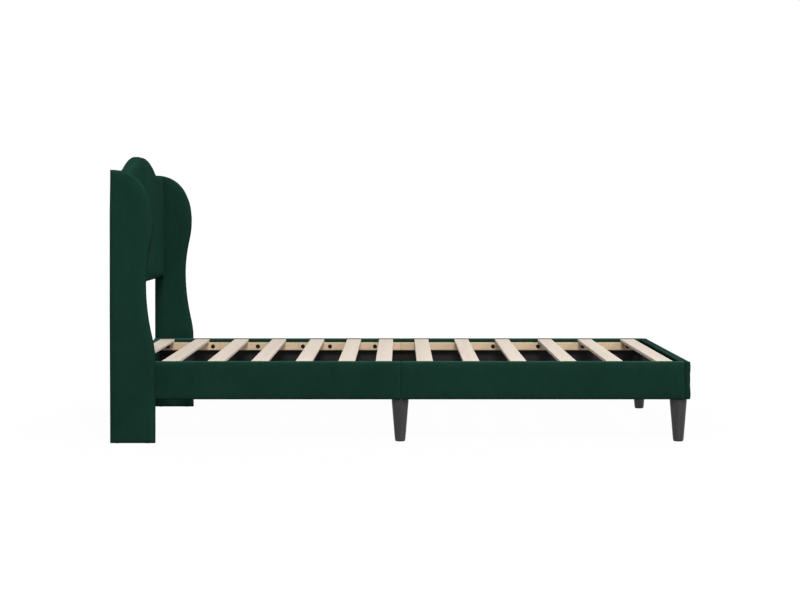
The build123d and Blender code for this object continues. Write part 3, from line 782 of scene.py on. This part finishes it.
# Headboard panel
panel, flat = pad(
    "headboard_pad", panel_outline(), PANEL_THICK, (PANEL_BACK_ROUND, PANEL_ROUND),
    lambda u, v, w: (BACK + w, u, v), PANEL_STEP, velvet_panel_painted_sheen,
    lambda point: PANEL_SIDE_SHARE if abs(point.x) > SIDE - NEAR else 1.0,
)
held = [
    i for i, (u, v, w) in enumerate(flat)
    if w < PANEL_THICK - PANEL_ROUND or abs(u) > SIDE - HOLD_EDGE
]
puff(panel, held, PANEL_SWELL)
finish_pad(panel, "headboard_cover", "headboard_foam")

# Side rails: rolled outer top edge, a flap of velvet inside and lining below it
FLAP_BOTTOM = RAIL_LINING_HIGH.z
NOTCH = RAIL_LINING_HIGH.y - RAIL_LINING_LOW.y
WRAP = RAIL_LINING_LOW.z - RAIL_LOW.z


def corner(x, z, radius, start, steps=ROUND_STEPS):
    """The points of a rounded corner round a centre, from an angle on by 90 degrees."""
    return [
        Vector((x + radius * math.cos(math.radians(start + 90 * i / steps)),
                z + radius * math.sin(math.radians(start + 90 * i / steps))))
        for i in range(steps + 1)
    ]


def rail_section(crown):
    """The side rail's section as (y, z), counterclockwise, with the notch for the lining."""
    points = [Vector((RAIL_INNER, RAIL_LOW.z))]
    points += corner(SIDE - WRAP_ROUND, RAIL_LOW.z + WRAP_ROUND, WRAP_ROUND, -90)
    points += corner(SIDE - PAD_ROUND, RAIL_HIGH.z - PAD_ROUND, PAD_ROUND, 0)
    points += corner(RAIL_INNER + WRAP_ROUND, RAIL_HIGH.z - WRAP_ROUND, WRAP_ROUND, 90)
    points += [
        Vector((RAIL_INNER, FLAP_BOTTOM)),
        Vector((RAIL_INNER + NOTCH, FLAP_BOTTOM)),
        Vector((RAIL_INNER + NOTCH, RAIL_LOW.z + WRAP)),
        Vector((RAIL_INNER, RAIL_LOW.z + WRAP)),
    ]
    points = subdivided(points, RAIL_STEP)
    middle = (RAIL_INNER + SIDE) / 2
    for point in points:
        if point.y > RAIL_HIGH.z - PAD_ROUND:
            off_middle = (point.x - middle) / (SIDE - middle)
            point.y += crown * (1 - off_middle ** 2)
    return points


for side_name, hand in SIDES:
    for half, low, high in (
        ("head", RAIL_LOW.x, SEAM - JOINT_GAP / 2), ("foot", SEAM + JOINT_GAP / 2, RAIL_FOOT_HIGH.x)
    ):
        rail, flat = swept(
            f"{side_name}_{half}_rail_pad", rail_section(RAIL_CROWN[side_name]), (low, high),
            END_ROUND, lambda t, p, q, hand=hand: (t, hand * p, q), velvet,
        )
        held = [
            i for i, (t, p, q) in enumerate(flat)
            if p < SIDE - PAD_ROUND or t < low + HOLD_EDGE or t > high - HOLD_EDGE
            or t < BACK + WING_BASE[0] + HOLD_MARGIN or q < RAIL_LOW.z + WRAP_ROUND
        ]
        puff(rail, held, RAIL_SWELL)
        finish_pad(rail, f"{side_name}_{half}_side_rail_cover")

# Foot rail: an outer pad across the full width, and an inner layer between the side rails
FOOT_TOP = FOOT_HIGH.z + FOOT_RISE
outer, flat = pad(
    "foot_rail_pad",
    rounded_rectangle((-SIDE, FOOT_LOW.z), (SIDE, FOOT_TOP), FOOT_CORNER_ROUND),
    FOOT_HIGH.x - FOOT_JOINT, (0.0, FOOT_ROUND),
    lambda u, v, w: (FOOT_JOINT + w, u, v), RAIL_STEP, velvet,
)
held = [i for i, (u, v, w) in enumerate(flat) if w < FOOT_HIGH.x - FOOT_JOINT - FOOT_ROUND]
puff(outer, held, RAIL_SWELL)
finish_pad(outer, "foot_rail_cover")

FOOT_NOTCH_TOP = FOOT_LINING_HIGH.z
section = [Vector((FOOT_JOINT, FOOT_LOW.z))]
section += corner(FOOT_JOINT - WRAP_ROUND / 2, FOOT_TOP - WRAP_ROUND / 2, WRAP_ROUND / 2, 0, 3)
section += corner(FOOT_LOW.x + WRAP_ROUND, FOOT_TOP - WRAP_ROUND, WRAP_ROUND, 90)
section += [
    Vector((FOOT_LOW.x, FOOT_NOTCH_TOP)),
    Vector((FOOT_LOW.x + NOTCH, FOOT_NOTCH_TOP)),
    Vector((FOOT_LOW.x + NOTCH, FOOT_LOW.z + WRAP)),
    Vector((FOOT_LOW.x, FOOT_LOW.z + WRAP)),
    Vector((FOOT_LOW.x, FOOT_LOW.z)),
]
inner, _ = swept(
    "foot_rail_inner_pad", subdivided(section, RAIL_STEP), (-INNER_HALF, INNER_HALF),
    CROSS_END_ROUND, lambda t, p, q: (p, t, q), velvet_inner_shaded,
)
finish_pad(inner, "foot_rail_cover")

# Head rail
section = [Vector((HEAD_LOW.x, HEAD_LOW.z)), Vector((HEAD_HIGH.x, HEAD_LOW.z))]
section += corner(HEAD_HIGH.x - WRAP_ROUND, HEAD_HIGH.z - WRAP_ROUND, WRAP_ROUND, 0)
section += corner(HEAD_LOW.x + WRAP_ROUND, HEAD_HIGH.z - WRAP_ROUND, WRAP_ROUND, 90)
head, flat = swept(
    "head_rail_pad", subdivided(section, RAIL_STEP), (-INNER_HALF, INNER_HALF),
    CROSS_END_ROUND, lambda t, p, q: (p, t, q), velvet,
)
held = [
    i for i, (t, p, q) in enumerate(flat)
    if abs(t) > INNER_HALF - HOLD_MARGIN or q > HEAD_HIGH.z - 2 * WRAP_ROUND
    or q < HEAD_LOW.z + HOLD_EDGE
]
puff(head, held, RAIL_SWELL / 2)
finish_pad(head, "head_rail_cover")


# Slats and ledgers: sawn boards with eased edges
def board(node, rounds, along_x, material):
    """A board with eased edges in place of a CAD one, in the same box."""
    low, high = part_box(node)
    near, far = (low.y, high.y) if along_x else (low.x, high.x)
    over, under = rounds
    section = corner(far - under, low.z + under, under, -90)
    section += corner(far - over, high.z - over, over, 0)
    section += corner(near + over, high.z - over, over, 90)
    section += corner(near + under, low.z + under, under, 180)
    piece, _ = swept(
        f"{node}_board", subdivided(section, RAIL_STEP / 2),
        (low.x, high.x) if along_x else (low.y, high.y), BOARD_END_ROUND,
        lambda t, p, q: (t, p, q) if along_x else (p, t, q), material, BOARD_STEP,
    )
    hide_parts(node)
    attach(piece, "root")


for node_name in sorted(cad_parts):
    if node_name.startswith("slat_"):
        board(node_name, SLAT_ROUND, False, slat_wood)
    elif node_name.endswith("_ledger"):
        board(node_name, LEDGER_ROUND, True, ledger_wood)


# Lining and back cloth: thin sheets, stapled or glued flat with a few soft creases
def creases(point, pattern):
    """The height of a pattern of creases at a point, from -1 to 1."""
    along, across, layer = pattern
    return noise.noise(Vector((point.x * along, point.y * across, layer)))


def sheet(name, loop, place, step, crease, nodes, material):
    """A flat sheet of cloth with low creases, in place of CAD nodes, which it hides."""
    loop = subdivided(loop, step)
    points, triangles, _ = flat_mesh(loop, fill_points(loop, step))
    depth = distances(points, loop)
    vertices = []
    for p, d in zip(points, depth):
        wave = creases(p, LONG_CREASES) + creases(p, SHORT_CREASES) / 2
        height = crease * (0.5 + 0.5 * wave) * smooth_step(0, HEM_FLAT, d)
        vertices.append(place(p.x, p.y, height))
    piece = new_piece(name, vertices, triangles, material)
    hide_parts(*nodes)
    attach(piece, "root")


def rectangle(low, high):
    """The four corners of a rectangle, counterclockwise."""
    return [
        Vector((low[0], low[1])), Vector((high[0], low[1])),
        Vector((high[0], high[1])), Vector((low[0], high[1])),
    ]


for side_name, hand in SIDES:
    for half in ("head", "foot"):
        node = f"{side_name}_{half}_side_rail_lining"
        low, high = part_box(node)
        near = min(abs(low.y), abs(high.y))
        sheet(
            f"{side_name}_{half}_rail_lining_cloth", rectangle((low.x, low.z), (high.x, high.z)),
            lambda u, v, w, hand=hand, near=near: (u, hand * (near + NOTCH * LINING_DEPTH - w), v),
            LINING_STEP, LINING_CREASE, [node], lining_cloth,
        )

low, high = FOOT_LINING_LOW, FOOT_LINING_HIGH
sheet(
    "foot_rail_lining_cloth", rectangle((low.y, low.z), (high.y, high.z)),
    lambda u, v, w: (FOOT_LINING_LOW.x + NOTCH * LINING_DEPTH - w, u, v),
    LINING_STEP, LINING_CREASE, ["foot_rail_lining"], lining_cloth,
)

HEM = BACK_CLOTH_LOW.z - PANEL_UNDERSIDE
cloth_loop = panel_outline(HEM)
sheet(
    "headboard_back_cloth_sheet", cloth_loop, lambda u, v, w: (BACK - BACK_CLOTH_GAP - w, u, v),
    BACK_CLOTH_STEP, BACK_CLOTH_CREASE, ["headboard_back_cloth"], back_cloth_look,
)

# Fasteners: the CAD model's pins with formed heads and a socket for the key
SIDES_OF_PIN = 24
HEX_TURN = math.tau / 6
LEAST_HEAD = 1e-4  # no head is flatter than this
SHARP_ANGLE = math.radians(34)


def islands(node):
    """The points of each loose part of a node."""
    built = bmesh.new()
    built.from_mesh(node.data)
    bmesh.ops.remove_doubles(built, verts=built.verts, dist=TINY)
    waiting = set(built.verts)
    parts = []
    while waiting:
        edge_of_part = [waiting.pop()]
        part = []
        while edge_of_part:
            here = edge_of_part.pop()
            part.append(here.co.copy())
            for link in here.link_edges:
                other = link.other_vert(here)
                if other in waiting:
                    waiting.remove(other)
                    edge_of_part.append(other)
        parts.append(part)
    built.free()
    return sorted(parts, key=lambda part: tuple(round(c, 4) for c in min(part, key=tuple)))


def pin_sizes(points):
    """A pin's head centre, inward direction, head radius and height, shank radius and length."""
    low = Vector([min(p[i] for p in points) for i in range(3)])
    high = Vector([max(p[i] for p in points) for i in range(3)])
    run = max(range(3), key=lambda i: high[i] - low[i])
    middle = (low + high) / 2

    def reach(stop):
        """The pin's largest radius in the plane at stop."""
        ring = [p - middle for p in points if abs(p[run] - stop) < NEAR]
        return max(math.hypot(*(v[i] for i in range(3) if i != run)) for v in ring)

    ends = sorted((low[run], high[run]), key=reach)
    tip, top = ends
    steps = sorted(abs(p[run] - top) for p in points)
    head_height = next(step for step in steps if step > LEAST_HEAD)
    inward = Vector([0, 0, 0])
    inward[run] = math.copysign(1, tip - top)
    centre = middle.copy()
    centre[run] = top
    return centre, inward, reach(top), head_height, reach(tip), abs(tip - top)


def head_rings(kind, radius, height, shank, length, key):
    """The pin's form from its socket to its tip, as (depth, radius, hexagonal).

    key is the radius of the socket's corners.
    """
    rings = [(0.8 * height, 0.94 * key, True), (0.12 * height, key, True)]
    if kind == "dome":
        rings += [(0.0, 1.3 * key, False), (0.08 * height, 0.62 * radius, False),
                  (0.3 * height, 0.82 * radius, False), (0.6 * height, 0.95 * radius, False),
                  (0.85 * height, radius, False), (height, 0.98 * radius, False)]
    elif kind == "cap":
        rings += [(0.0, 1.08 * key, False), (0.0, 0.88 * radius, False),
                  (0.12 * height, radius, False), (height, radius, False)]
    else:
        rings += [(0.0, 1.08 * key, False), (0.0, radius, False)]
    return rings + [
        (height, shank, False), (length - 0.6 * shank, shank, False), (length, 0.4 * shank, False)
    ]


def fasteners(node, kind, key, material):
    """Every pin of a CAD node, with its formed head."""
    vertices, faces = [], []
    for points in islands(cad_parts[node]):
        centre, inward, radius, height, shank, length = pin_sizes(points)
        across = inward.orthogonal().normalized()
        other = inward.cross(across)
        for number, (depth, reach, hexagonal) in enumerate(
            head_rings(kind, radius, height, shank, length, key)
        ):
            first = len(vertices)
            for i in range(SIDES_OF_PIN):
                angle = math.tau * i / SIDES_OF_PIN
                off_corner = angle % HEX_TURN - HEX_TURN / 2
                share = math.cos(HEX_TURN / 2) / math.cos(off_corner) if hexagonal else 1
                spoke = across * math.cos(angle) + other * math.sin(angle)
                vertices.append(centre + inward * depth + spoke * reach * share)
            if number:
                faces += quads(first - SIDES_OF_PIN, first, SIDES_OF_PIN)
            else:
                faces.append(tuple(range(first, first + SIDES_OF_PIN)))
        faces.append(tuple(range(first, first + SIDES_OF_PIN)))
    piece = new_piece(f"{node}_set", vertices, faces, material, SHARP_ANGLE)
    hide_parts(node)
    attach(piece, "root")


fasteners("ledger_screws", "dome", 0.0028, black_steel)
fasteners("bracket_screws", "dome", 0.0019, black_steel)
fasteners("wing_bolts", "cap", 0.0035, black_steel)
fasteners("plate_screws", "countersunk", 0.0018, bare_steel)

# Camera
camera_data = bpy.data.cameras.new("camera")
camera_data.sensor_fit = "HORIZONTAL"
camera_data.sensor_width = SENSOR_WIDTH
camera_data.lens = FOCAL_PIXELS / PHOTO_WIDTH * SENSOR_WIDTH
camera_data.shift_x = (PHOTO_WIDTH / 2 - CENTRE_X_PIXEL) / PHOTO_WIDTH
camera_data.shift_y = (HORIZON_PIXEL - PHOTO_HEIGHT / 2) / PHOTO_WIDTH
camera_data.clip_end = 100
camera = bpy.data.objects.new("camera", camera_data)
camera.location = CAMERA_PLACE
camera.rotation_euler = (math.pi / 2, 0, 0)
bpy.context.scene.collection.objects.link(camera)
bpy.context.scene.camera = camera


# Floor, world and lamps
FLOOR_HALF = 60
FLOOR_GREY = 0.4  # what the floor sends back of the lamps' light
FLOOR_GLOW = 1.03  # what the camera sees besides
SHADOW_REACH = (1.2, 2.6)  # distances from the middle between which the shadow fades out
SHADOW_GLOW_SHARE = (0.94, 1.0)  # how much of the glow is seen there
WORLD_LIGHT = 0.26
WORLD_TINT = (0.95, 0.97, 1.0)
LAMP_TARGET = (0, 0, 0.3)


def camera_share(tree):
    """1 for rays that see the stage directly or by a reflection, 0 for its light."""
    path = tree.nodes.new("ShaderNodeLightPath")
    total = path.outputs["Is Camera Ray"]
    for name in ("Is Glossy Ray", "Is Transmission Ray"):
        both = tree.nodes.new("ShaderNodeMath")
        both.operation = "MAXIMUM"
        tree.links.new(total, both.inputs[0])
        tree.links.new(path.outputs[name], both.inputs[1])
        total = both.outputs["Value"]
    return total


def floor_material():
    """A white floor that keeps part of the object's shadow."""
    material = bpy.data.materials.new("floor")
    material.use_nodes = True
    tree = material.node_tree
    shader = tree.nodes["Principled BSDF"]
    shader.inputs["Base Color"].default_value = (*grey(FLOOR_GREY), 1.0)
    shader.inputs["Roughness"].default_value = 0.9
    shader.inputs["Specular IOR Level"].default_value = 0.0
    glow = tree.nodes.new("ShaderNodeEmission")
    glow.inputs["Color"].default_value = (1.0, 1.0, 1.0, 1.0)
    glow.inputs["Strength"].default_value = FLOOR_GLOW
    where = tree.nodes.new("ShaderNodeTexCoord").outputs["Object"]
    reach = tree.nodes.new("ShaderNodeVectorMath")
    reach.operation = "LENGTH"
    tree.links.new(where, reach.inputs[0])
    share = tree.nodes.new("ShaderNodeMapRange")
    share.inputs["From Min"].default_value = SHADOW_REACH[0]
    share.inputs["From Max"].default_value = SHADOW_REACH[1]
    share.inputs["To Min"].default_value = SHADOW_GLOW_SHARE[0]
    share.inputs["To Max"].default_value = SHADOW_GLOW_SHARE[1]
    tree.links.new(reach.outputs["Value"], share.inputs["Value"])
    both = tree.nodes.new("ShaderNodeMath")
    both.operation = "MULTIPLY"
    tree.links.new(camera_share(tree), both.inputs[0])
    tree.links.new(share.outputs["Result"], both.inputs[1])
    mix = tree.nodes.new("ShaderNodeMixShader")
    tree.links.new(both.outputs["Value"], mix.inputs["Fac"])
    tree.links.new(shader.outputs["BSDF"], mix.inputs[1])
    tree.links.new(glow.outputs["Emission"], mix.inputs[2])
    tree.links.new(mix.outputs["Shader"], tree.nodes["Material Output"].inputs["Surface"])
    return material


floor_mesh = bpy.data.meshes.new("floor")
floor_mesh.from_pydata(
    [(-FLOOR_HALF, -FLOOR_HALF, 0), (FLOOR_HALF, -FLOOR_HALF, 0),
     (FLOOR_HALF, FLOOR_HALF, 0), (-FLOOR_HALF, FLOOR_HALF, 0)],
    [], [(0, 1, 2, 3)],
)
floor_mesh.materials.append(floor_material())
floor = bpy.data.objects.new("floor", floor_mesh)
bpy.context.scene.collection.objects.link(floor)

world = bpy.data.worlds.new("studio")
bpy.context.scene.world = world
world.use_nodes = True
tree = world.node_tree
soft_light = tree.nodes["Background"]
soft_light.inputs["Color"].default_value = (*WORLD_TINT, 1.0)
soft_light.inputs["Strength"].default_value = WORLD_LIGHT
backdrop = tree.nodes.new("ShaderNodeBackground")
backdrop.inputs["Color"].default_value = (1.0, 1.0, 1.0, 1.0)
backdrop.inputs["Strength"].default_value = 1.0
choose = tree.nodes.new("ShaderNodeMixShader")
tree.links.new(camera_share(tree), choose.inputs["Fac"])
tree.links.new(soft_light.outputs["Background"], choose.inputs[1])
tree.links.new(backdrop.outputs["Background"], choose.inputs[2])
tree.links.new(choose.outputs["Shader"], tree.nodes["World Output"].inputs["Surface"])


def lamp(name, place, size, power):
    """A soft square lamp that points at the bed."""
    data = bpy.data.lights.new(name, "AREA")
    data.shape = "SQUARE"
    data.size = size
    data.energy = power
    light = bpy.data.objects.new(name, data)
    light.location = place
    to_bed = Vector(LAMP_TARGET) - Vector(place)
    light.rotation_euler = to_bed.to_track_quat("-Z", "Y").to_euler()
    bpy.context.scene.collection.objects.link(light)


lamp("key_lamp", (0.5, -6.9, 7.5), size=3.0, power=830)
lamp("foot_end_lamp", (11.2, -3.5, 7.7), size=4.0, power=850)

bpy.context.scene.view_settings.view_transform = "Standard"
